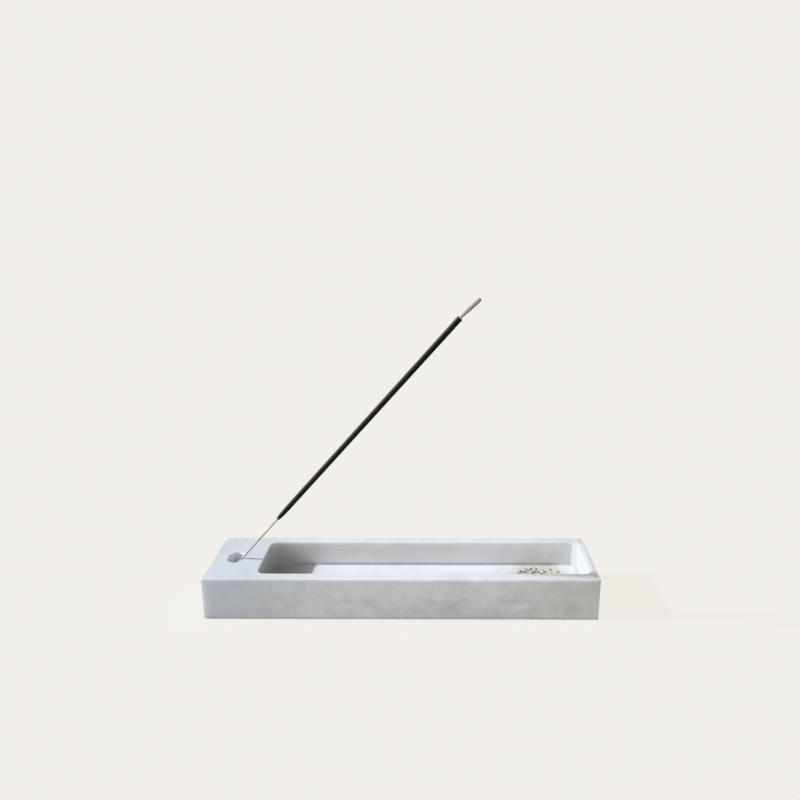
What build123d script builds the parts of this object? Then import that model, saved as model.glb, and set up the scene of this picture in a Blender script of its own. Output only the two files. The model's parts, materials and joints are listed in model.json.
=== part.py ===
from build123d import *

import os
from math import ceil, cos, radians, sin, sqrt, tan

# Incense stick holder: a marble block with a long ash tray milled into its top and a socket drilled in the
# land beside it, felt pads underneath, a burning stick that leans out over the tray, and fallen crumbs.
# Millimetres. X runs along the block, the front faces -Y, and Z is up from the surface that it stands on.

# Marble block
block_length = 220.0
block_width = 38.0
block_height = 25.0
corner_round = 1.0
edge_round = 0.8
foot_round = 0.5

# Ash tray: the wide land is at its left end, and narrow rims run along its sides and right end
end_land = 29.3
end_rim = 4.5
side_rim = 5.1
tray_depth = 15.3
tray_corner_round = 4.0
tray_floor_round = 1.0
tray_lip_round = 0.7

# Socket in the land: its depth follows from the lean of the stick that it holds
socket_diameter = 9.0
socket_inset = 12.9
socket_lip_round = 0.5
seat_clearance = 0.15

# Felt pads, set in from the block's sides
pad_diameter = 10.0
pad_thickness = 1.0
pad_inset = 3.0

# Incense stick: lean is measured from upright, heading from +X
stick_lean = 40.8
stick_heading = -14.0
core_diameter = 1.0
bare_length = 51.0
coat_diameter = 3.0
coat_length = 157.3
coat_taper = 3.8

# Ash that still stands on the burnt end, drooping by its bend along its length
ash_length = 13.6
ash_bend = 10.0
ash_foot_diameter = 1.5
ash_belly_diameter = 2.2
ash_end_diameter = 1.9

# Fallen crumbs, in an oval pile at the tray's right end. Heights are shares of a lump's width.
pile_length = 28.0
pile_width = 15.0
pile_end_gap = 10.5
pile_back_gap = 0.2
crumb_pitch = 2.7
crumb_gap = 0.2
crumb_taper = 15.0
char_height = 0.8
ash_height = 0.65
flake_height = 0.4
smallest_crumb = 0.45
slimmest_crumb = 0.45
crumb_mixing = 0.5

top = pad_thickness + block_height
corner = min(corner_round, block_width / 2.1)
tray_length = block_length - end_land - end_rim
tray_width = block_width - 2 * side_rim
tray_floor = top - tray_depth
tray_middle = (end_land - end_rim) / 2
tray_end = block_length / 2 - end_rim
tray_corner = min(tray_corner_round, tray_width / 2.1)
socket_x = socket_inset - block_length / 2

# The stick stands with its foot in the socket's far lower corner and its side on the near lip. Distances
# are from the socket's axis, in the upright plane that the stick leans in.
lean = radians(stick_lean)
heading = radians(stick_heading)
socket_radius = socket_diameter / 2
core_radius = core_diameter / 2
lip_to_axis = socket_lip_round + core_radius + seat_clearance
axis_at_top = socket_radius + socket_lip_round * (1 + tan(lean)) - lip_to_axis / cos(lean)
foot_offset = seat_clearance + core_radius * cos(lean) - socket_radius
foot_drop = (axis_at_top - foot_offset) / tan(lean)
socket_depth = foot_drop + core_radius * sin(lean) + seat_clearance
core_length = bare_length + coat_length
stick = Plane(
    origin=(socket_x + foot_offset * cos(heading), foot_offset * sin(heading), top - foot_drop),
    x_dir=(cos(lean) * cos(heading), cos(lean) * sin(heading), -sin(lean)),
    z_dir=(sin(lean) * cos(heading), sin(lean) * sin(heading), cos(lean)),
)
on_foot = (Align.CENTER, Align.CENTER, Align.MIN)


def lips(block):
    """The outlines of the block's two hollows on its top face, the shorter first."""
    return block.faces().sort_by(Axis.Z)[-1].inner_wires().sort_by(SortBy.LENGTH)


def marble_tray():
    """The block with eased edges, the tray milled out, the socket drilled and both lips rounded."""
    block = Pos(0, 0, pad_thickness) * Box(block_length, block_width, block_height, align=on_foot)
    block = fillet(block.edges().filter_by(Axis.Z), corner)
    block = fillet(block.edges().group_by(Axis.Z)[-1], min(edge_round, 0.9 * corner))
    block = fillet(block.edges().group_by(Axis.Z)[0], min(foot_round, 0.9 * corner))
    outline = Pos(tray_middle, 0, tray_floor) * RectangleRounded(tray_length, tray_width, tray_corner)
    tray = extrude(outline, tray_depth)
    tray = fillet(tray.edges().group_by(Axis.Z)[0], min(tray_floor_round, 0.9 * tray_corner))
    socket = Pos(socket_x, 0, top - socket_depth) * Cylinder(socket_radius, socket_depth, align=on_foot)
    block = block - tray - socket
    block = block.fillet(tray_lip_round, lips(block)[-1].edges())
    return block.fillet(socket_lip_round, lips(block)[0].edges())


def felt_pad(side_x, side_y):
    """A felt disc under one corner: side_x is -1 left or 1 right, side_y is -1 front or 1 back."""
    inset = pad_inset + pad_diameter / 2
    place = Pos(side_x * (block_length / 2 - inset), side_y * (block_width / 2 - inset), 0)
    return place * Cylinder(pad_diameter / 2, pad_thickness, align=on_foot)


def bamboo_core():
    """The splint, from its foot in the socket to the burnt end of the coat."""
    return stick * Cylinder(core_radius, core_length, align=on_foot)


def incense_coat():
    """The paste rolled on the splint: a sleeve with a rounded taper below and a square burnt end."""
    coat_radius = coat_diameter / 2
    shoulder = bare_length + coat_taper
    taper = TangentArc((coat_radius, shoulder), (core_radius, bare_length), tangent=(0, -1))
    bore = Line((core_radius, bare_length), (core_radius, core_length))
    burnt_end = Line((core_radius, core_length), (coat_radius, core_length))
    side = Line((coat_radius, core_length), (coat_radius, shoulder))
    profile = make_face([taper, bore, burnt_end, side])
    return stick * revolve(Plane.XZ * profile, Axis.Z)


def ash_tip():
    """A curl of ash on the burnt end: round sections along an arc, thin at the foot and blunt at the tip."""
    bend = radians(ash_bend)
    bend_radius = ash_length / bend
    diameters = {0: ash_foot_diameter, 0.4: ash_belly_diameter, 0.8: ash_belly_diameter, 1: ash_end_diameter}
    sections = []
    for share, diameter in diameters.items():
        turn = share * bend
        section = Plane(
            origin=(bend_radius * (1 - cos(turn)), 0, core_length + bend_radius * sin(turn)),
            x_dir=(cos(turn), 0, -sin(turn)),
            z_dir=(sin(turn), 0, cos(turn)),
        )
        sections.append(section * Circle(diameter / 2))
    return stick * loft(sections)


def scatter(index, prime):
    """An even spread of values from 0 to 1: the fractions of whole multiples of the square root of a prime."""
    return index * sqrt(prime) % 1


def crumb(index, radius, sides, height):
    """A lump with an uneven, slim outline inside its radius, drawn in towards its top."""
    slim = slimmest_crumb + (1 - slimmest_crumb) * scatter(index, 2)
    corners = []
    for side in range(sides):
        turn = radians(360 * (side + 0.5 * scatter(index + side, 3)) / sides)
        corners.append((radius * cos(turn), slim * radius * sin(turn)))
    return extrude(Polygon(*corners, align=None), height * 2 * radius * slim, taper=crumb_taper)


def fallen_crumbs():
    """Lumps on the tray floor, on a staggered grid inside an oval, each shifted, turned and sized by itself.

    Charred crumbs lie mostly at the left, grey ash in the middle and pale flakes at the right. Each kind has
    lumps of so many sides and of its own height.
    """
    kinds = {"char_crumbs": (5, char_height), "ash_crumbs": (6, ash_height), "pale_flakes": (4, flake_height)}
    middle_x = tray_end - pile_end_gap - pile_length / 2
    middle_y = tray_width / 2 - tray_floor_round - pile_back_gap - pile_width / 2
    row_step = crumb_pitch * sin(radians(60))
    columns = ceil(pile_length / crumb_pitch)
    rows = ceil(pile_width / row_step)
    room = (crumb_pitch - crumb_gap) / 2
    oval_length = pile_length - 2 * room
    oval_width = pile_width - 2 * room
    names = list(kinds)
    lumps = {name: [] for name in names}
    for index in range(columns * rows):
        row, column = divmod(index, columns)
        radius = room * (smallest_crumb + (1 - smallest_crumb) * scatter(index, 5))
        shift = radians(360 * scatter(index, 7))
        along = (column - (columns - 1) / 2 + 0.5 * (row % 2)) * crumb_pitch + (room - radius) * cos(shift)
        across = (row - (rows - 1) / 2) * row_step + (room - radius) * sin(shift)
        if (2 * along / oval_length) ** 2 + (2 * across / oval_width) ** 2 > 1:
            continue
        share = along / oval_length + 0.5 + crumb_mixing * (scatter(index, 11) - 0.5)
        name = names[min(len(names) - 1, max(0, int(len(names) * share)))]
        place = Pos(middle_x + along, middle_y + across, tray_floor) * Rot(0, 0, 360 * scatter(index, 13))
        lumps[name].append(place * crumb(index, radius, *kinds[name]))
    return {name: Compound(lumps[name]) for name in names}


nodes = {
    "marble_tray": marble_tray(),
    "felt_pad_front_left": felt_pad(-1, -1),
    "felt_pad_front_right": felt_pad(1, -1),
    "felt_pad_back_left": felt_pad(-1, 1),
    "felt_pad_back_right": felt_pad(1, 1),
    "bamboo_core": bamboo_core(),
    "incense_coat": incense_coat(),
    "ash_tip": ash_tip(),
    **fallen_crumbs(),
}
os.makedirs("parts", exist_ok=True)
for name, shape in nodes.items():
    export_step(shape, f"parts/{name}.step")
print(f"socket depth {socket_depth:.2f}, stick foot to tip {core_length + ash_length:.1f}")
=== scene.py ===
import json
from math import ceil, cos, pi, radians, sin, sqrt

import bmesh
import bpy
import numpy as np
from mathutils import Matrix, Vector
from mathutils.geometry import delaunay_2d_cdt


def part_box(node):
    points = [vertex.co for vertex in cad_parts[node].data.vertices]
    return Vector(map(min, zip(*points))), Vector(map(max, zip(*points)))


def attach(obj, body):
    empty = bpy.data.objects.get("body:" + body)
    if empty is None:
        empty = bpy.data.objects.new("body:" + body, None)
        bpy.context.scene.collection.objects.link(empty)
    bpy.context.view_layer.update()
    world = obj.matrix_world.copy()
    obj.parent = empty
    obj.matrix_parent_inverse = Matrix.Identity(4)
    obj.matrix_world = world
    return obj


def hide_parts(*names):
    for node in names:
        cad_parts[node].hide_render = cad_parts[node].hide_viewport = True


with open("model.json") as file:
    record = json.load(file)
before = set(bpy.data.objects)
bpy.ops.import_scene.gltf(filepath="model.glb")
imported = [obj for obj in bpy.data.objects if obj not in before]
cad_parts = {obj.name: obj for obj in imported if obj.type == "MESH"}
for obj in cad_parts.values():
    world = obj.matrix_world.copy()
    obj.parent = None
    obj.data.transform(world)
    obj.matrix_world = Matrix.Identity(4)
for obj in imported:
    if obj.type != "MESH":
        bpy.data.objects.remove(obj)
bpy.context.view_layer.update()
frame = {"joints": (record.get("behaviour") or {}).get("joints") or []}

# The marble block is one piece of pale stone, sawn to size, with a long ash tray milled into its top and a socket
# drilled in the land beside it. Its edges are eased by hand, so they aren't quite even, and it is honed all over
# to a soft sheen. It stands on its felt pads and carries everything else.
block_low, block_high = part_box("marble_tray")
block_length = block_high.x - block_low.x
block_width = block_high.y - block_low.y
block_foot = block_low.z
block_top = block_high.z
corner_round = 0.001
edge_round = 0.0004
edge_drop = 0.0016
foot_round = 0.0005
edge_waver = 0.06
waver_length = 0.02
end_fall = 0.0005
fall_length = 0.007

end_land = 0.0293
end_rim = 0.0045
side_rim = 0.0051
tray_depth = 0.0153
tray_corner_round = 0.004
tray_floor_round = 0.001
tray_lip_round = 0.0002
tray_lip_drop = 0.0005
worn_lip_round = 0.0029
tray_floor = block_top - tray_depth
tray_length = block_length - end_land - end_rim
tray_width = block_width - 2 * side_rim
tray_middle = ((end_land - end_rim) / 2, 0)
tray_end = block_length / 2 - end_rim
tray_start = tray_end - tray_length

socket_inset = 0.0129
socket_radius = 0.0045
socket_depth = 0.00961
socket_lip_round = 0.0005
socket_foot_round = 0.0001
socket_middle = (socket_inset - block_length / 2, 0)

outline_step = 0.0005
round_steps = 10
holding_width = 0.0003


def unevenness(points, size, seed, waves=48):
    """A smooth random height with a spread of 1 at each point: sine waves about as long as size, added up.

    Each wave has its own direction, length and start, drawn from the seed.
    """
    draw = np.random.default_rng(seed)
    directions = draw.normal(size=(3, waves))
    directions /= np.linalg.norm(directions, axis=0)
    pitches = 2 * pi / (size * draw.uniform(0.7, 1.4, waves))
    starts = draw.uniform(0, 2 * pi, waves)
    return np.sin(points @ (directions * pitches) + starts).sum(-1) * sqrt(2 / waves)


def rounded_outline(length, width, radius, middle):
    """A rounded rectangle about its middle, anticlockwise: its points, and the outward direction at each.

    Each quarter is an arc of the radius, evenly divided by angle, and then the straight side that follows it.
    """
    turn = np.linspace(0, pi / 2, max(6, round(radius * pi / outline_step)) + 1)
    reach = np.array([length / 2 - radius, width / 2 - radius])
    signs = np.array([(1, 1), (-1, 1), (-1, -1), (1, -1), (1, 1)])
    points = []
    outward = []
    for quarter in range(4):
        angle = turn + quarter * pi / 2
        facing = np.column_stack([np.cos(angle), np.sin(angle)])
        arc = signs[quarter] * reach + radius * facing
        side_end = signs[quarter + 1] * reach + radius * facing[-1]
        steps = round(np.linalg.norm(side_end - arc[-1]) / outline_step)
        side = np.linspace(arc[-1], side_end, steps + 1)
        points += [arc[:-1], side[:-1]]
        outward += [facing[:-1], np.repeat(facing[-1:], steps, axis=0)]
    return np.concatenate(points) + middle, np.concatenate(outward)


def carry_round(outline, *stretches):
    """A profile carried round an outline: rows of points that stand out from it by an offset, at a height.

    A stretch of the profile is a pair, offsets and heights, with a row for each of its points. Either may change
    along the outline.
    """
    points, outward = outline
    rows = []
    for offsets, heights in stretches:
        offsets, heights, _ = np.broadcast_arrays(offsets, heights, np.zeros((1, len(points))))
        level = points + offsets[..., None] * outward
        rows.append(np.concatenate([level, heights[..., None]], axis=-1))
    return np.concatenate(rows)


def ring_faces(rows, around, first=0):
    """Quads between each row of a grid and the next, closed round, from the number of the grid's first point."""
    row, place = np.mgrid[:rows - 1, :around]
    after = (place + 1) % around
    corners = [row * around + place, row * around + after, (row + 1) * around + after, (row + 1) * around + place]
    return first + np.stack(corners, axis=-1).reshape(-1, 4)


def level_fill(points, loops, facing):
    """Triangles over a level face inside the first loop of point numbers and outside the others.

    A Delaunay triangulation in millimetres that keeps the loops' edges, without the triangles that have all their
    corners on one of the other loops, and turned over where the face looks down.
    """
    numbers = np.concatenate(loops)
    edges = []
    for loop in loops:
        place = len(edges) + np.arange(len(loop))
        edges += np.column_stack([place, np.roll(place, -1)]).tolist()
    plan = 1000 * points[numbers, :2]
    faces = np.array(delaunay_2d_cdt(plan.tolist(), edges, [], 1, 1e-6)[2])
    owner = np.repeat(np.arange(len(loops)), [len(loop) for loop in loops])[faces]
    in_hole = (owner == owner[:, :1]).all(axis=1) & (owner[:, 0] > 0)
    return numbers[faces[~in_hole][:, ::facing]]


def add_piece(name, points, faces, material):
    """A smooth mesh piece at the origin, with the points that meet at its seams and poles joined."""
    mesh = bpy.data.meshes.new(name)
    mesh.from_pydata(points, [], faces)
    work = bmesh.new()
    work.from_mesh(mesh)
    bmesh.ops.remove_doubles(work, verts=work.verts, dist=1e-7)
    work.to_mesh(mesh)
    work.free()
    mesh.polygons.foreach_set("use_smooth", np.ones(len(mesh.polygons), bool))
    mesh.materials.append(material)
    piece = bpy.data.objects.new(name, mesh)
    bpy.context.scene.collection.objects.link(piece)
    return piece


def marble_skin():
    """The block's points and faces: an outer, a tray and a socket profile, each carried round its own outline.

    The front and back faces fall away at the left end, and the tray's lip is worn rounder at its right end. Level
    fills close the underside, the top between the three, and the floors of the tray and the socket. A narrow level
    strip beside each rounding keeps the level faces flat.
    """
    turn = np.linspace(0, pi / 2, round_steps + 1)[:, None]
    gone = 1 - np.cos(turn)
    left = 1 - np.sin(turn)

    outer = rounded_outline(block_length, block_width, corner_round, (0, 0))
    along = np.pad(outer[0], ((0, 0), (0, 1)))
    waver = 1 + edge_waver * unevenness(along, waver_length, seed=1)
    from_end = np.clip((block_length / 2 + outer[0][:, 0]) / fall_length, 0, 1)
    fall = -end_fall * (1 - from_end) ** 3 * outer[1][:, 1] ** 2
    side = np.linspace(block_foot + foot_round + holding_width, block_top - 1.2 * edge_drop, 5)[:, None]
    shell = carry_round(
        outer,
        (fall[None] - foot_round - holding_width / 2, block_foot),
        (fall - foot_round * left, block_foot + foot_round * gone),
        (fall[None], side),
        (fall - edge_round * waver * gone, block_top - edge_drop * waver * left),
        (fall[None] - edge_round * waver - holding_width / 2, block_top),
    )

    hollow = rounded_outline(tray_length, tray_width, tray_corner_round, tray_middle)
    worn = np.clip(hollow[1][:, 0], 0, 1) ** 2
    lip = tray_lip_round + (worn_lip_round - tray_lip_round) * worn
    drop = tray_lip_drop + (worn_lip_round - tray_lip_drop) * worn
    wall_foot = tray_floor + tray_floor_round + holding_width
    tray = carry_round(
        hollow,
        (lip[None] + holding_width, block_top),
        (lip * left, block_top - drop * gone),
        (0, np.linspace(block_top - drop - holding_width, np.full(len(drop), wall_foot), 5)),
        (-tray_floor_round * gone, tray_floor + tray_floor_round * left),
        (-tray_floor_round - holding_width, tray_floor),
    )

    socket_floor = block_top - socket_depth
    bore_top = block_top - socket_lip_round - holding_width
    bore_foot = socket_floor + socket_foot_round + holding_width
    socket = carry_round(
        rounded_outline(2 * socket_radius, 2 * socket_radius, socket_radius, socket_middle),
        (socket_lip_round + holding_width, block_top),
        (socket_lip_round * left, block_top - socket_lip_round * gone),
        (0, np.linspace(bore_top, bore_foot, 5)[:, None]),
        (-socket_foot_round * gone, socket_floor + socket_foot_round * left),
        (-socket_foot_round - holding_width, socket_floor),
    )

    points = np.concatenate([skin.reshape(-1, 3) for skin in (shell, tray, socket)])
    faces = []
    first_rows = []
    last_rows = []
    first = 0
    for skin in (shell, tray, socket):
        rows, around = skin.shape[:2]
        faces += ring_faces(rows, around, first).tolist()
        first_rows.append(first + np.arange(around))
        first += rows * around
        last_rows.append(first - around + np.arange(around))
    faces += level_fill(points, first_rows[:1], -1).tolist()
    faces += level_fill(points, [last_rows[0]] + first_rows[1:], 1).tolist()
    faces += level_fill(points, last_rows[1:2], 1).tolist()
    faces += level_fill(points, last_rows[2:], 1).tolist()
    return points, faces


class Shade:
    """A socket in a material's nodes: arithmetic on it adds Math nodes, and node() adds a node of any other type."""

    def __init__(self, tree, socket=None):
        self.tree = tree
        self.socket = socket

    def node(self, kind, settings=None, inputs=None, output=0):
        """Add a node, set its settings first and then its sockets, to values or links, and return its output."""
        made = self.tree.nodes.new("ShaderNode" + kind)
        for name, value in (settings or {}).items():
            setattr(made, name, value)
        for name, value in (inputs or {}).items():
            self.feed(made.inputs[name], value)
        return Shade(self.tree, made.outputs[output])

    def feed(self, socket, value):
        """Link a shade to a socket, or set the socket to a plain value."""
        if isinstance(value, Shade):
            self.tree.links.new(value.socket, socket)
        else:
            socket.default_value = value

    def math(self, operation, first, second=0.0):
        return self.node("Math", {"operation": operation}, {0: first, 1: second})

    def __add__(self, other):
        return self.math("ADD", self, other)

    def __sub__(self, other):
        return self.math("SUBTRACT", self, other)

    def __rsub__(self, other):
        return self.math("SUBTRACT", other, self)

    def __mul__(self, other):
        return self.math("MULTIPLY", self, other)

    def __truediv__(self, other):
        return self.math("DIVIDE", self, other)

    def __rtruediv__(self, other):
        return self.math("DIVIDE", other, self)

    def __pow__(self, other):
        return self.math("POWER", self, other)

    def __rpow__(self, other):
        return self.math("POWER", other, self)

    def __abs__(self):
        return self.math("ABSOLUTE", self)

    __radd__ = __add__
    __rmul__ = __mul__

    def ease(self, start, end):
        """0 before start and 1 after end, eased between them. A start above the end turns it round."""
        limits = {"Value": self, "From Min": start, "From Max": end}
        return self.node("MapRange", {"interpolation_type": "SMOOTHSTEP"}, limits)

    def blend(self, first, second, way="MIX"):
        """The first colour where this mask is 0 and the second where it is 1, or their product there."""
        return self.node("Mix", {"data_type": "RGBA", "blend_type": way}, {0: self, 6: first, 7: second}, 2)

    def noise(self, size, detail=3.0, roughness=0.5, distortion=0.0):
        """Cloudy noise from 0 to 1 on this vector, with lumps of about that size in metres."""
        inputs = {"Vector": self, "Scale": 1 / size, "Detail": detail, "Roughness": roughness}
        inputs["Distortion"] = distortion
        return self.node("TexNoise", None, inputs)


def new_material(name):
    """A material with its shader, and the place of each point on the piece, in metres, as a shade."""
    material = bpy.data.materials.new(name)
    material.use_nodes = True
    shader = material.node_tree.nodes["Principled BSDF"]
    place = Shade(material.node_tree).node("TexCoord", output="Object")
    return material, shader, place


marble_white = (0.95, 0.947, 0.94, 1)
marble_cloud = (0.77, 0.77, 0.77, 1)
marble_vein = (0.64, 0.64, 0.635, 1)
marble_cool = (0.72, 0.75, 0.79, 1)
marble_dull = (0.80, 0.80, 0.79, 1)
marble_olive = (0.80, 0.79, 0.725, 1)
marble_rust = (0.50, 0.41, 0.32, 1)
marble_rim_grey = (0.68, 0.68, 0.66, 1)
# Painted shade for the left end face, which faces the lamp.
painted_end_shade = (0.68, 0.66, 0.62, 1)
# Painted shade near the block's foot.
painted_foot_shade = (0.42, 0.415, 0.405, 1)
dust_cream = (0.78, 0.72, 0.60, 1)
dust_brown = (0.34, 0.25, 0.195, 1)
# Painted crease shade along the foot of the tray's walls.
crease_shade_grey = (0.36, 0.355, 0.345, 1)
# Painted shadow for the tray's left end.
painted_tray_shadow = (0.40, 0.39, 0.37, 1)
# Painted shade high on the tray's long walls.
painted_wall_shade = (0.58, 0.58, 0.585, 1)
# Ash on the right end wall, which also stands in as painted shade there.
ash_film_and_shade = (0.63, 0.60, 0.555, 1)
ash_thick_and_shade = (0.54, 0.515, 0.475, 1)
cloud_size = 0.024
vein_size = 0.05
zone_size = 0.03
tint_size = 0.02
mottle_size = 0.009
fleck_size = 0.0018
streak_size = 0.0016
crystal_size = 0.0007
pit_size = 0.0004
pit_depth = 0.00003

# A reach says where a tint starts and where it is full: a place on the block, or a distance from one of its faces.
cool_reach = (-0.035, -0.095)
dull_reach = (0.045, 0.1)
olive_reach = (-0.012, -0.019)
front_reach = (-0.0178, -0.0188)
lamp_face_reach = (-0.1088, -0.1098)
streak_reach = (0.006, 0.002)
foot_shade_reach = (0.0105, 0.003)
foot_line_reach = (0.0036, 0.0014)
wall_reach = (-0.0005, -0.0002)
underside_reach = (-0.001, -0.0005)
floor_reach = (0.0004, 0.0)
lamp_shadow_reach = (-0.048, -0.075)
wall_shade_reach = (0.075, 0.03)
wall_shade_rise = (0.002, 0.013)
film_reach = (0.0028, 0.0006)
film_end = (-0.0031, -0.0027)
thick_reach = (-0.0001, -0.0012)
thick_rise = (0.0018, 0.0006)
worn_reach = (-0.0006, -0.002)
worn_end = (-0.0036, -0.0024)
crease_fade_reach = (0.088, 0.098)
dust_middle = (0.081, 0.006)
dust_reach = (0.017, 0.011)
crease_height = 0.0025
crease_foot = 0.0008
dust_grain = 0.0009


def marble_material():
    """White marble with broad grey clouds and soft veins drawn out along one slant, rust flecks and crystal grain.

    It is cooler at the socket's end, duller and yellower at the other, and darker towards its foot as painted shade.
    The front has level rust streaks and is a little lighter in colour, partly as painted light. The left end, turned
    to the lamp, is greyed as painted shade, and the socket's bore is whiter as painted light. In the tray, the left
    end is greyed as a painted shadow and the long walls grow greyer higher up as painted shade. The right end, up to
    its worn rim, has a coat of ash that is also painted shade on the lamp-lit wall. The foot of the long walls is a
    painted crease shade that turns to brown dust behind the crumbs, cream dust lies round the crumbs, and the right
    rim is greyer.
    """
    material, shader, place = new_material("marble")
    x, y, z = (place.node("SeparateXYZ", None, {0: place}, axis) for axis in "XYZ")
    below = block_top - z
    above = z - tray_floor
    from_side = tray_width / 2 - abs(y)
    from_start = x - tray_start
    from_end = tray_end - x

    slant = {"Location": (0.013, 0.0, 0.021), "Rotation": (0.3, 0.5, 0.4), "Scale": (0.5, 1.2, 1.0)}
    grain_way = place.node("Mapping", None, {"Vector": place, **slant})
    level_way = place.node("Mapping", None, {"Vector": place, "Scale": (0.12, 1.0, 1.0)})
    clouds = grain_way.noise(cloud_size, detail=5.0, distortion=0.6).ease(0.35, 0.72)
    wander = grain_way.noise(vein_size, detail=4.0, distortion=0.6)
    near_vein = abs(wander - 0.5).ease(0.05, 0.0)
    vein_patches = grain_way.noise(vein_size, detail=1.0).ease(0.42, 0.65)
    zones = place.noise(zone_size, roughness=0.55)
    mottle = place.noise(mottle_size, detail=4.0, roughness=0.6).ease(0.35, 0.7)
    tints = place.noise(tint_size)
    front = y.ease(*front_reach)
    cool = x.ease(*cool_reach) * (0.55 + 0.8 * zones)
    dull = x.ease(*dull_reach) * (0.5 + 0.8 * zones)
    olive = y.ease(*olive_reach).blend(marble_dull, marble_olive)
    flecks = place.noise(fleck_size, detail=2.0).ease(0.66, 0.78) * zones.ease(0.5, 0.7)
    streaks = level_way.noise(streak_size, roughness=0.6).ease(0.56, 0.74) * zones.ease(0.45, 0.6)
    streaks = streaks * 0.3 * front * below.ease(*streak_reach)
    crystals = place.node("TexVoronoi", None, {"Vector": place, "Scale": 1 / crystal_size}, "Color")
    crystal = place.node("SeparateColor", None, {0: crystals})

    across_tray = from_side.ease(*wall_reach) * above.ease(*underside_reach)
    along_tray = from_start.ease(*wall_reach) * from_end.ease(*wall_reach)
    inside = across_tray * along_tray * below.ease(0.0, 0.003)
    on_floor = inside * above.ease(*floor_reach)
    colour = (cool * (0.7 + 0.15 * front)).blend(marble_white, marble_cool)
    colour = (dull * 0.62).blend(colour, olive)
    colour = (front * tints.ease(0.52, 0.7) * 0.4).blend(colour, marble_cool)
    colour = (front * tints.ease(0.48, 0.3) * 0.4).blend(colour, marble_olive)
    # The front's clouds are offset so the front stays a little lighter in colour: partly its own tone, partly painted
    # light on the front face.
    cloudy = clouds * (0.34 + 0.3 * front) + mottle * (0.18 + 0.3 * front) - 0.36 * front - 0.12 * on_floor
    colour = cloudy.blend(colour, marble_cloud, "MULTIPLY")
    colour = (near_vein * vein_patches * (0.12 + 0.2 * front)).blend(colour, marble_vein, "MULTIPLY")
    colour = (flecks * 0.3 + streaks).blend(colour, marble_rust)
    colour = (crystal * 0.06).blend(colour, marble_cloud, "MULTIPLY")
    # Painted shade: the left end face, turned to the lamp, is a darker grey.
    lamp_face_shade = x.ease(*lamp_face_reach) * below.ease(0.0, 0.001)
    colour = (lamp_face_shade * 0.9).blend(colour, painted_end_shade)
    # Painted shade: the stone darkens towards the floor, most in a line just above its foot.
    foot_shade = 0.1 * z.ease(*foot_shade_reach) + 0.4 * z.ease(*foot_line_reach)
    colour = (foot_shade * (0.8 + 0.4 * zones)).blend(colour, painted_foot_shade)

    # Painted shadow: the tray's left end, where the land's shadow falls, is greyed, most on the floor.
    lamp_shadow_zone = x.ease(*lamp_shadow_reach)
    colour = (inside * lamp_shadow_zone * (0.26 + 0.3 * zones + 0.24 * on_floor)).blend(colour, painted_tray_shadow)
    # Painted shade: the tray's long walls grow greyer higher up, outside the shadowed left end.
    wall_shade = inside * from_side.ease(0.0004, 0.0001) * (1 - lamp_shadow_zone) * x.ease(*wall_shade_reach)
    wall_shade = wall_shade * (0.06 + 0.26 * above.ease(*wall_shade_rise)) * (0.75 + 0.5 * zones)
    colour = wall_shade.blend(colour, painted_wall_shade)
    # Partly a coat of ash and partly painted shade: the lamp-lit right end wall is greyed, more on its lip and low
    # down.
    lit_end_wall = from_end.ease(*film_reach) * from_end.ease(*film_end) * across_tray * below.ease(0.0, 0.0005)
    thick = from_end.ease(*thick_reach) + above.ease(*thick_rise)
    film_and_shade = thick.blend(ash_film_and_shade, ash_thick_and_shade)
    colour = (lit_end_wall * (0.85 + 0.15 * zones)).blend(colour, film_and_shade)
    from_bore = ((x - socket_middle[0]) ** 2 + y * y) / socket_radius ** 2
    # Painted light: the socket's shaded bore is whitened.
    painted_bore_light = from_bore.ease(1.1, 0.96) * below.ease(0.0002, 0.001) * above.ease(0.0, 0.004)
    colour = (painted_bore_light * 0.45).blend(colour, marble_white)
    # The right rim and its worn lip are greyer, away from the front.
    worn_rim = from_end.ease(*worn_reach) * from_end.ease(*worn_end) * below.ease(0.002, 0.001)
    colour = (worn_rim * (1 - front) * 0.8).blend(colour, marble_rim_grey)

    along = (x - dust_middle[0]) / dust_reach[0]
    across = (y - dust_middle[1]) / dust_reach[1]
    dusty = place.noise(dust_grain, detail=4.0, roughness=0.65)
    drift = (along * along + across * across).ease(1.25, 0.5) * inside * above.ease(0.0008, 0.0)
    behind = (along * along).ease(1.0, 0.4) * y.ease(0.0, tray_width / 2)
    # Painted crease shade along the foot of the long walls, turning to brown dust behind the crumbs; it fades out in
    # the shadowed left end and near the right end.
    foot = from_side.ease(crease_foot, 0.0003) * (1 - 0.85 * lamp_shadow_zone) * inside * (1 - 0.65 * x.ease(*crease_fade_reach))
    foot = foot * (above / (0.7 + 0.6 * dusty)).ease(crease_height, crease_foot)
    crease_and_dust = (behind * 0.9).blend(crease_shade_grey, dust_brown)
    colour = (drift * dusty.ease(0.2, 0.6) * 0.85).blend(colour, dust_cream)
    colour = (foot * (0.4 + 0.5 * dusty)).blend(colour, crease_and_dust)
    place.feed(shader.inputs["Base Color"], colour)
    place.feed(shader.inputs["Roughness"], 0.58 + 0.1 * crystal + 0.08 * clouds + 0.2 * drift)
    shader.inputs["IOR"].default_value = 1.49
    shader.inputs["Specular IOR Level"].default_value = 0.3
    shader.inputs["Subsurface Weight"].default_value = 0.25
    shader.inputs["Subsurface Radius"].default_value = (1.0, 0.9, 0.8)
    shader.inputs["Subsurface Scale"].default_value = 0.002
    pits = place.noise(pit_size, detail=2.0)
    bump = {"Height": pits, "Strength": 0.15, "Distance": pit_depth}
    place.feed(shader.inputs["Normal"], place.node("Bump", None, bump))
    return material


marble = add_piece("marble_block", *marble_skin(), marble_material())
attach(marble, "holder")
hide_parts("marble_tray")

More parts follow.
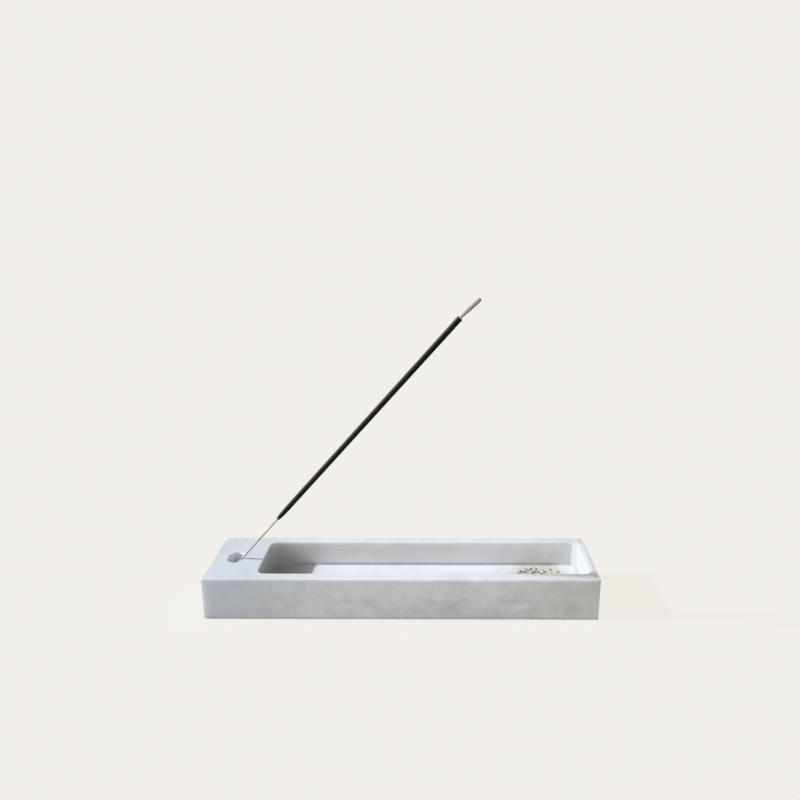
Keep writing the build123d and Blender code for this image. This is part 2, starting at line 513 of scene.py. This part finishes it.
# The felt pads are four discs punched from pressed wool felt and glued under the block's corners, so that the
# stone doesn't scratch what it stands on. Their cut edges are slightly furry.
pad_round = 0.00025
pad_fur = 0.00004
fibre_size = 0.00018
fibre_depth = 0.0002
tuft_size = 0.0012
felt_dark = (0.10, 0.10, 0.095, 1)
felt_light = (0.26, 0.255, 0.245, 1)


def disc_points(low, high):
    """A disc that fills a box: a rounded edge profile carried round a circle, with both ends drawn in to the axis."""
    radius = (high.x - low.x) / 2 - pad_fur
    middle = ((low.x + high.x) / 2, (low.y + high.y) / 2)
    turn = np.linspace(0, pi / 2, 5)[:, None]
    gone = pad_round * (1 - np.cos(turn))
    left = pad_round * (1 - np.sin(turn))
    inner = np.linspace(1, 0.2, 5)[:, None] * (pad_round - radius)
    points = carry_round(
        rounded_outline(2 * radius, 2 * radius, radius, middle),
        (-radius, low.z),
        (inner, low.z),
        (-left, low.z + gone),
        (-gone, high.z - left),
        (inner[::-1], high.z),
        (-radius, high.z),
    )
    return points


def felt_material():
    """Matted wool: short fibres in every direction, as two crossed stretched noises, over darker and lighter tufts."""
    material, shader, place = new_material("felt")
    fibres = []
    for stretch in ((1, 0.15, 1), (0.15, 1, 1)):
        way = place.node("Mapping", None, {"Vector": place, "Scale": stretch, "Rotation": (0, 0, 0.6)})
        fibres.append(way.noise(fibre_size, roughness=0.6, distortion=1.5))
    fibre = fibres[0] * fibres[1]
    tufts = place.noise(tuft_size)
    colour = (0.5 * tufts + 1.6 * fibre).ease(0.3, 1.0).blend(felt_dark, felt_light)
    place.feed(shader.inputs["Base Color"], colour)
    place.feed(shader.inputs["Roughness"], 0.85 + 0.1 * tufts)
    shader.inputs["Sheen Weight"].default_value = 0.3
    bump = {"Height": fibre, "Strength": 0.7, "Distance": fibre_depth}
    place.feed(shader.inputs["Normal"], place.node("Bump", None, bump))
    return material


felt = felt_material()
for corner in ("front_left", "front_right", "back_left", "back_right"):
    points = disc_points(*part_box("felt_pad_" + corner))
    faces = ring_faces(*points.shape[:2]).tolist()
    pad = add_piece("felt_disc_" + corner, points.reshape(-1, 3), faces, felt)
    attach(pad, "holder")
    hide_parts("felt_pad_" + corner)

# The splint is the stick's core: a sliver of bamboo, split and shaved nearly round, with its foot in the socket
# and its side on the socket's lip. Only its lower end shows, bare and straw-coloured.
core_radius = 0.0005
bare_length = 0.051
splint_rows = 420
splint_around = 60
flat_count = 5
flat_depth = 0.035
flat_twist = 12
groove_size = 0.00018
groove_depth = 0.018
lean = np.array(frame["joints"][0]["axis"])
splint_low, splint_high = np.array(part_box("bamboo_core"))
splint_half = core_radius * np.sqrt(1 - lean ** 2)
splint_foot = np.where(lean > 0, splint_low + splint_half, splint_high - splint_half)
splint_end = np.where(lean > 0, splint_high - splint_half, splint_low + splint_half)
core_length = np.linalg.norm(splint_end - splint_foot)
heading = lean[:2] / np.linalg.norm(lean[:2])
droop = np.append(heading * lean[2], -np.linalg.norm(lean[:2]))
sideways = np.cross(lean, droop)
stick_axes = np.array([droop, sideways, lean])
bamboo_straw = (0.76, 0.64, 0.44, 1)
bamboo_pale = (0.92, 0.83, 0.64, 1)
bamboo_brown = (0.17, 0.125, 0.09, 1)
bamboo_skin_shade = (0.25, 0.175, 0.11, 1)
bamboo_grey = (0.60, 0.575, 0.545, 1)
grey_reach = (0.032, 0.047)
fibre_width = 0.00012
strand_width = 0.0005
patch_size = 0.006


def on_stick(points):
    """Points from the stick's own axes, with its droop first and its length last, to their place on the holder."""
    return splint_foot + points @ stick_axes


def round_rod(radii, heights, angles):
    """Points of a rod along the stick: at each height, the radius carried round the angles."""
    radii, heights, angles = np.broadcast_arrays(radii, heights[:, None], angles)
    return np.stack([radii * np.cos(angles), radii * np.sin(angles), heights], axis=-1)


def stick_place(place, axis):
    """A point's place along one of the stick's own axes, as a shade: X is its droop and Z its length from the foot."""
    turn = Matrix(stick_axes).transposed().to_euler()
    along = {"Location": splint_foot.tolist(), "Rotation": turn}
    rod = place.node("Mapping", {"vector_type": "TEXTURE"}, {"Vector": place, **along})
    return place.node("SeparateXYZ", None, {0: rod}, axis)


def splint_points():
    """A rod with blunt flats that twist slowly, fine grooves along it, and both ends drawn in to the axis.

    The flats are a cosine round the rod, turned in step with the height, and the grooves an unevenness that is
    stretched along it.
    """
    heights = np.linspace(0, core_length, splint_rows)
    angles = np.linspace(0, 2 * pi, splint_around, endpoint=False)
    rod = round_rod(core_radius, heights, angles)
    flats = flat_depth * np.cos(flat_count * angles + flat_twist * heights[:, None])
    grooves = groove_depth * unevenness(rod * (1, 1, 0.01), groove_size, seed=3)
    radii = core_radius * np.minimum(0.95 + flats + grooves, 1)
    radii[[1, -2]] *= 0.9
    radii[[0, -1]] = 0
    heights[[1, -2]] = heights[[0, -1]]
    return round_rod(radii, heights, angles)


def bamboo_material():
    """Bamboo: long fibres of pale pith, with dark strands, and brown on the side that leans down: the cane's skin,
    put on the side away from the lamp, so partly painted shade.
    """
    material, shader, place = new_material("bamboo")
    across, sidelong, length = (stick_place(place, axis) for axis in "XYZ")
    rod = place.node("CombineXYZ", None, {"X": across, "Y": sidelong, "Z": length})
    drawn = place.node("CombineXYZ", None, {"X": across, "Y": sidelong, "Z": 0.02 * length})
    fibres = drawn.noise(fibre_width, roughness=0.6)
    strands = drawn.noise(strand_width, detail=2.0)
    patches = rod.noise(patch_size)
    colour = fibres.ease(0.3, 0.7).blend(bamboo_straw, bamboo_pale)
    # Partly the cane's brown skin and partly painted shade: the lower side, away from the lamp, is made brown.
    skin = (across / core_radius).ease(-0.75, -0.25)
    colour = (skin * (0.75 + 0.25 * fibres)).blend(colour, bamboo_skin_shade)
    colour = (0.4 * length.ease(*grey_reach)).blend(colour, bamboo_grey)
    colour = (0.5 * strands.ease(0.55, 0.65)).blend(colour, bamboo_brown)
    colour = (0.25 * patches.ease(0.5, 0.75)).blend(colour, bamboo_brown)
    place.feed(shader.inputs["Base Color"], colour)
    place.feed(shader.inputs["Roughness"], 0.5 + 0.25 * fibres)
    bump = {"Height": fibres, "Strength": 0.5, "Distance": 0.00004}
    place.feed(shader.inputs["Normal"], place.node("Bump", None, bump))
    return material


points = splint_points()
faces = ring_faces(*points.shape[:2]).tolist()
splint = add_piece("bamboo_splint", on_stick(points.reshape(-1, 3)), faces, bamboo_material())
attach(splint, "stick")
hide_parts("bamboo_core")

# The coat is black incense paste, charcoal and ground wood bound with gum, rolled on the splint while wet. It keeps
# one thickness down to a short, blunt taper at its lower end, and its upper end is burnt off square.
coat_radius = 0.0015
coat_taper = 0.010
coat_bluntness = 0.22
coat_grain = 0.000022
coat_around = 64
taper_rows = 40
shaft_rows = 520
rim_shares = (0.95, 0.8, 0.62)
bore_rows = 12
wood_size = 0.00022
rub_size = 0.004
grit_size = 0.00016
grit_depth = 0.00008
paste_black = (0.0062, 0.0047, 0.0031, 1)
paste_grey = (0.022, 0.0172, 0.0125, 1)
paste_char = (0.030, 0.0235, 0.017, 1)
paste_dust_and_light = (0.23, 0.198, 0.170, 1)


def coat_points():
    """A sleeve: a grainy outside, swelling from the splint as a power curve, a burnt rim, and the bore back down."""
    angles = np.linspace(0, 2 * pi, coat_around, endpoint=False)
    share = np.linspace(0, 1, taper_rows) ** 3
    swell = core_radius + (coat_radius - core_radius) * share ** coat_bluntness
    shaft = np.linspace(bare_length + coat_taper, core_length, shaft_rows)[1:]
    heights = np.concatenate([bare_length + coat_taper * share, shaft])
    radii = np.concatenate([swell, np.full(len(shaft), coat_radius)])
    rod = round_rod(radii[:, None], heights, angles)
    grain = 0.5 * unevenness(rod, 0.0004, seed=5) + 0.5 * unevenness(rod, 0.0011, seed=6)
    outside = radii[:, None] + coat_grain * (np.clip(grain, -2, 2) - 2)
    outside = np.maximum(outside, core_radius)
    inner = np.append(coat_radius * np.array(rim_shares), np.full(bore_rows, core_radius))
    inner_heights = np.append(np.full(len(rim_shares), core_length), np.linspace(core_length, bare_length, bore_rows))
    radii = np.concatenate([outside, np.repeat(inner[:, None], coat_around, axis=1)])
    heights = np.concatenate([heights, inner_heights])
    points = round_rod(radii, heights, angles)
    points[-1] = points[0]
    return points


def paste_material():
    """Matt black paste with specks of ground wood, greyer where it was handled.

    Its upper side, turned to the lamp, is paler: partly ash dust, partly painted light.
    """
    material, shader, place = new_material("incense_paste")
    specks = place.noise(wood_size, detail=2.0).ease(0.55, 0.75)
    rubbed = place.noise(rub_size, detail=4.0, roughness=0.6).ease(0.4, 0.75)
    colour = (0.6 * specks).blend(paste_black, paste_grey)
    colour = (0.35 * rubbed).blend(colour, paste_char)
    # Partly ash dust and partly painted light: the upper side, turned to the lamp, is paler.
    dusted_and_lit = (stick_place(place, "X") / coat_radius).ease(0.15, -1.0) ** 2
    colour = (dusted_and_lit * (0.6 + 0.6 * specks)).blend(colour, paste_dust_and_light)
    place.feed(shader.inputs["Base Color"], colour)
    place.feed(shader.inputs["Roughness"], 0.92 - 0.12 * rubbed)
    shader.inputs["Specular IOR Level"].default_value = 0.18
    grain = place.noise(grit_size, detail=4.0, roughness=0.65)
    bump = {"Height": grain, "Strength": 0.7, "Distance": grit_depth}
    place.feed(shader.inputs["Normal"], place.node("Bump", None, bump))
    return material


points = coat_points()
faces = ring_faces(*points.shape[:2]).tolist()
coat = add_piece("paste_coat", on_stick(points.reshape(-1, 3)), faces, paste_material())
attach(coat, "stick")
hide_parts("incense_coat")

# The ash tip is what is left of the burnt paste: a light, crumbling curl that still stands on the burnt end,
# thin where it joins and blunt where it last broke off.
ash_length = 0.0136
ash_bend = radians(9.5)
ash_diameters = ((0, 0.4, 0.8, 1), (0.0012, 0.0021, 0.0022, 0.0019))
ash_rows = 150
ash_around = 56
ash_roughness = 0.00003
crack_pitch = 0.0022
crack_width = 0.12
ash_sway = 0.00015
ash_pale = (0.45, 0.405, 0.37, 1)
ash_rosy = (0.40, 0.335, 0.30, 1)
ash_grey = (0.33, 0.30, 0.27, 1)
ash_patch = 0.003
ash_grain = 0.0003
ash_grain_depth = 0.0001


def ash_points():
    """A rod bent along an arc with a slight sway, rough and cracked across, and both ends drawn in to the axis."""
    angles = np.linspace(0, 2 * pi, ash_around, endpoint=False)
    share = np.linspace(0, 1, ash_rows)
    radii = np.interp(share, *ash_diameters)[:, None] / 2
    rod = round_rod(radii, share * ash_length, angles)
    lumps = 0.6 * unevenness(rod, 0.0009, seed=8) + 0.5 * unevenness(rod, 0.0003, seed=9)
    cracks = np.abs(unevenness(rod * (0.4, 0.4, 1), crack_pitch, seed=10))
    lumps = np.clip(lumps, -2, 2) - 2 - 2.5 * np.exp(-(cracks / crack_width) ** 2)
    radii = np.maximum(radii + ash_roughness * lumps, 0.2 * radii)
    radii[[0, -1]] = 0
    radii[-2] *= 0.75
    share[1] = share[0]
    rod = round_rod(radii, np.zeros(len(share)), angles)
    turn = share * ash_bend
    bend_radius = ash_length / ash_bend
    drooped = bend_radius * (1 - np.cos(turn)) + ash_sway * np.sin(pi * share)
    middle = np.stack([drooped, 0 * turn, core_length + bend_radius * np.sin(turn)], axis=-1)
    towards = np.stack([np.cos(turn), 0 * turn, -np.sin(turn)], axis=-1)
    return middle[:, None] + rod[..., :1] * towards[:, None] + rod[..., 1:2] * (0, 1, 0)


def ash_material(name, pale, warm, dark):
    """Powdery ash: warm and dark patches over a pale ground, with fine grains."""
    material, shader, place = new_material(name)
    patches = place.noise(ash_patch, detail=4.0, roughness=0.6)
    grains = place.noise(ash_grain, roughness=0.65)
    colour = patches.ease(0.35, 0.65).blend(pale, warm)
    colour = grains.ease(0.5, 0.72).blend(colour, dark)
    place.feed(shader.inputs["Base Color"], colour)
    place.feed(shader.inputs["Roughness"], 0.9 + 0.08 * grains)
    shader.inputs["Specular IOR Level"].default_value = 0.2
    bump = {"Height": grains, "Strength": 0.6, "Distance": ash_grain_depth}
    place.feed(shader.inputs["Normal"], place.node("Bump", None, bump))
    return material


points = ash_points()
faces = ring_faces(*points.shape[:2]).tolist()
ash_look = ash_material("tip_ash", ash_pale, ash_rosy, ash_grey)
tip = add_piece("ash_curl", on_stick(points.reshape(-1, 3)), faces, ash_look)
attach(tip, "stick")
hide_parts("ash_tip")

# The crumbs are what has dropped from earlier sticks: burnt bits, grey ash and cream flakes, lying loose in an oval
# on the tray floor. They lie on a staggered grid, each one shifted, turned and sized by itself, with fine specks
# strewn among them and a little beyond.
pile_length = 0.028
pile_width = 0.015
pile_end_gap = 0.0105
pile_back_gap = 0.0002
crumb_pitch = 0.0027
crumb_gap = 0.0002
smallest_crumb = 0.45
slimmest_crumb = 0.45
crumb_mixing = 0.5
speck_count = 340
speck_radii = (0.00015, 0.0004)
speck_spread = (0.25, 0.26)
speck_shift = (-0.04, 0.1)
speck_reach = np.array([0.66, 0.485])
speck_paleness = 0.7
speck_mixing = 0.35
crumb_grid = (9, 14)
speck_grid = (5, 7)
lump_apart = (7.1, 3.7, 1.3)
lump_pitch = 1.3
pile_middle = np.array([
    tray_end - pile_end_gap - pile_length / 2,
    tray_width / 2 - tray_floor_round - pile_back_gap - pile_width / 2,
])


def scatter(index, prime):
    """An even spread of values from 0 to 1: the fractions of whole multiples of the square root of a prime."""
    return index * sqrt(prime) % 1


def crumb_places():
    """Each crumb's number, place, radius, slimness, turn and kind, from 0 for burnt at the left to 2 for flakes."""
    row_step = crumb_pitch * sin(radians(60))
    columns = ceil(pile_length / crumb_pitch)
    rows = ceil(pile_width / row_step)
    index = np.arange(columns * rows)
    row, column = np.divmod(index, columns)
    room = (crumb_pitch - crumb_gap) / 2
    radius = room * (smallest_crumb + (1 - smallest_crumb) * scatter(index, 5))
    shift = 2 * pi * scatter(index, 7)
    along = (column - (columns - 1) / 2 + 0.5 * (row % 2)) * crumb_pitch + (room - radius) * np.cos(shift)
    across = (row - (rows - 1) / 2) * row_step + (room - radius) * np.sin(shift)
    oval = np.array([pile_length, pile_width]) - 2 * room
    kept = (2 * along / oval[0]) ** 2 + (2 * across / oval[1]) ** 2 <= 1
    share = along / oval[0] + 0.5 + crumb_mixing * (scatter(index, 11) - 0.5)
    kind = np.clip((3 * share).astype(int), 0, 2)
    slim = slimmest_crumb + (1 - slimmest_crumb) * scatter(index, 2)
    place = pile_middle + np.column_stack([along, across])
    turn = 2 * pi * scatter(index, 13)
    return [values[kept] for values in (index, place, radius, slim, turn, kind)]


def speck_places():
    """As crumb_places, for fine specks strewn about the pile's middle by a normal spread, some beyond its ends."""
    draw = np.random.default_rng(21)
    index = np.arange(speck_count)
    room = np.array([pile_length, pile_width])
    strewn = draw.normal(size=(speck_count, 2)) * speck_spread + speck_shift
    offset = np.clip(strewn, -speck_reach, speck_reach) * room
    radius = draw.uniform(*speck_radii, speck_count)
    slim = draw.uniform(slimmest_crumb, 1, speck_count)
    turn = draw.uniform(0, 2 * pi, speck_count)
    share = offset[:, 0] / pile_length + speck_paleness + draw.uniform(-speck_mixing, speck_mixing, speck_count)
    kind = np.clip((3 * share).astype(int), 0, 2)
    return index, pile_middle + offset, radius, slim, turn, kind


def lumps(bits, look, rows, around):
    """Lumps on the tray floor: balls drawn out to three half-widths, squared up by a power, roughened and turned."""
    index, place, radius, slim, turn = bits
    polar = np.linspace(pi, 0, rows)[:, None]
    angles = np.linspace(0, 2 * pi, around, endpoint=False)
    level = [np.sin(polar) * np.cos(angles), np.sin(polar) * np.sin(angles), np.cos(polar)]
    ball = np.stack(np.broadcast_arrays(*level), axis=-1)
    squared = np.sign(ball) * np.abs(ball) ** look["bluntness"]
    apart = index[:, None] * np.array(lump_apart)
    rough = unevenness(ball + apart[:, None, None], lump_pitch, seed=12)
    half = look["size"] * np.stack([radius, radius * slim, radius * slim * look["height"]], axis=-1)
    shaped = squared * (1 + look["rough"] * np.clip(rough, -1.5, 1.5))[..., None] * half[:, None, None]
    c = np.cos(turn)[:, None, None]
    s = np.sin(turn)[:, None, None]
    x = shaped[..., 0] * c - shaped[..., 1] * s + place[:, 0, None, None]
    y = shaped[..., 0] * s + shaped[..., 1] * c + place[:, 1, None, None]
    z = shaped[..., 2] - shaped[..., 2].min(axis=(1, 2), keepdims=True) + tray_floor
    return np.stack([x, y, z], axis=-1)


crumb_looks = {
    "char_crumbs": {
        "piece": "burnt_bits", "slot": "char", "size": 0.66, "height": 0.8, "bluntness": 0.6, "rough": 0.22,
        "colours": [(0.42, 0.355, 0.295, 1), (0.25, 0.195, 0.16, 1), (0.075, 0.058, 0.048, 1)],
    },
    "ash_crumbs": {
        "piece": "ash_bits", "slot": "ash", "size": 0.66, "height": 0.65, "bluntness": 0.8, "rough": 0.2,
        "colours": [(0.78, 0.70, 0.58, 1), (0.62, 0.51, 0.40, 1), (0.28, 0.21, 0.165, 1)],
    },
    "pale_flakes": {
        "piece": "cream_flakes", "slot": "pale_ash", "size": 0.92, "height": 0.5, "bluntness": 0.7, "rough": 0.2,
        "colours": [(0.90, 0.85, 0.66, 1), (0.80, 0.72, 0.49, 1), (0.42, 0.355, 0.235, 1)],
    },
}
crumbs = crumb_places()
specks = speck_places()
for number, (node, look) in enumerate(crumb_looks.items()):
    points = []
    faces = []
    for bits, (rows, around) in ((crumbs, crumb_grid), (specks, speck_grid)):
        mine = bits[-1] == number
        made = lumps([values[mine] for values in bits[:-1]], look, rows, around)
        first = sum(len(lump) for lump in points)
        each = ring_faces(rows, around)
        starts = first + rows * around * np.arange(len(made))
        points.append(made.reshape(-1, 3))
        faces += (each + starts[:, None, None]).reshape(-1, 4).tolist()
    material = ash_material(look["piece"], *look["colours"])
    piece = add_piece(look["piece"], np.concatenate(points), faces, material)
    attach(piece, "holder")
    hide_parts(node)

# The studio is a plain pale floor under a pale sky, brightest low down and in front, with one low lamp at the left,
# as far off as the sun, and a camera in front of the block, a little to the right and above.
background = (0.887, 0.863, 0.823)
zenith_strength = 0.02
horizon_strength = 0.7
front_strength = 0.59
sky_colour = (1.02, 1.0, 0.96, 1)
lamp_strength = 1.15
lamp_colour = (0.89, 0.99, 1.14)
lamp_height = radians(30.4)
lamp_heading = radians(1.3)
lamp_width = radians(2.2)
floor_bounce = 0.35
floor_flatness = 0.92
floor_paint = 0.9
floor_size = 40.0
camera_place = (0.020768, -0.268005, 0.221655)
camera_yaw = 0.00646
camera_pitch = 0.19508
camera_roll = -0.00249
camera_lens = 23.2174
camera_shift = (-0.0430, -0.10326)

scene = bpy.context.scene
scene.view_settings.view_transform = "Standard"
world = bpy.data.worlds.new("studio")
scene.world = world
world.use_nodes = True
world.node_tree.nodes.clear()


def seen_directly(start):
    """1 for rays that show the background itself: from the camera, or by a reflection or through glass."""
    rays = start.node("LightPath", output="Is Camera Ray")
    path = rays.socket.node
    for name in ("Is Glossy Ray", "Is Transmission Ray"):
        rays = rays.math("MAXIMUM", rays, Shade(start.tree, path.outputs[name]))
    return rays


start = Shade(world.node_tree)
ray = start.node("TexCoord", output="Generated")
upward = abs(start.node("SeparateXYZ", None, {0: ray}, "Z"))
forward = start.math("MAXIMUM", 0 - start.node("SeparateXYZ", None, {0: ray}, "Y"))
sky = horizon_strength + (zenith_strength - horizon_strength) * upward + front_strength * forward ** 2
fill = start.node("Background", None, {"Color": sky_colour, "Strength": sky})
pale = start.node("Background", None, {"Color": (*background, 1), "Strength": 1.0})
both = start.node("MixShader", None, {0: seen_directly(start), 1: fill, 2: pale})
output = world.node_tree.nodes.new("ShaderNodeOutputWorld")
start.feed(output.inputs["Surface"], both)

lamp_data = bpy.data.lights.new("low_lamp", "SUN")
lamp_data.energy = pi * lamp_strength
lamp_data.color = lamp_colour
lamp_data.angle = lamp_width
lamp = bpy.data.objects.new("low_lamp", lamp_data)
lamp_way = Vector((cos(lamp_height) * cos(lamp_heading), cos(lamp_height) * sin(lamp_heading), -sin(lamp_height)))
lamp.rotation_euler = lamp_way.to_track_quat("-Z", "Y").to_euler()
scene.collection.objects.link(lamp)

floor_mesh = bpy.data.meshes.new("floor")
corners = floor_size / 2 * np.array([(-1, -1, 0), (1, -1, 0), (1, 1, 0), (-1, 1, 0)])
floor_mesh.from_pydata(corners, [], [(0, 1, 2, 3)])
floor = bpy.data.objects.new("floor", floor_mesh)
scene.collection.objects.link(floor)
paint = bpy.data.materials.new("pale_floor")
paint.use_nodes = True
paint.node_tree.nodes.clear()
start = Shade(paint.node_tree)
sky_mean = (2 * zenith_strength + horizon_strength) / 3 + front_strength / 8
level_light = [sky_mean * s + lamp_strength * sin(lamp_height) * l for s, l in zip(sky_colour, lamp_colour)]
share = (1 - floor_flatness) * floor_paint
glow_colour = [(b - share * light) / floor_flatness for b, light in zip(background, level_light)]
seen = seen_directly(start)
colour = seen.blend((floor_bounce, floor_bounce, floor_bounce, 1), (floor_paint, floor_paint, floor_paint, 1))
matt = start.node("BsdfDiffuse", None, {"Color": colour})
glow = start.node("Emission", None, {"Color": (*glow_colour, 1), "Strength": 1.0})
both = start.node("MixShader", None, {0: floor_flatness * seen, 1: matt, 2: glow})
output = paint.node_tree.nodes.new("ShaderNodeOutputMaterial")
start.feed(output.inputs["Surface"], both)
floor_mesh.materials.append(paint)

camera_data = bpy.data.cameras.new("camera")
camera_data.sensor_width = 36.0
camera_data.lens = camera_lens
camera_data.shift_x, camera_data.shift_y = camera_shift
camera_data.clip_start = 0.01
camera = bpy.data.objects.new("camera", camera_data)
yaw = Matrix.Rotation(camera_yaw, 4, "Z")
tilt = Matrix.Rotation(pi / 2 - camera_pitch, 4, "X")
roll = Matrix.Rotation(camera_roll, 4, "Z")
camera.matrix_world = Matrix.Translation(camera_place) @ yaw @ tilt @ roll
scene.collection.objects.link(camera)
scene.camera = camera
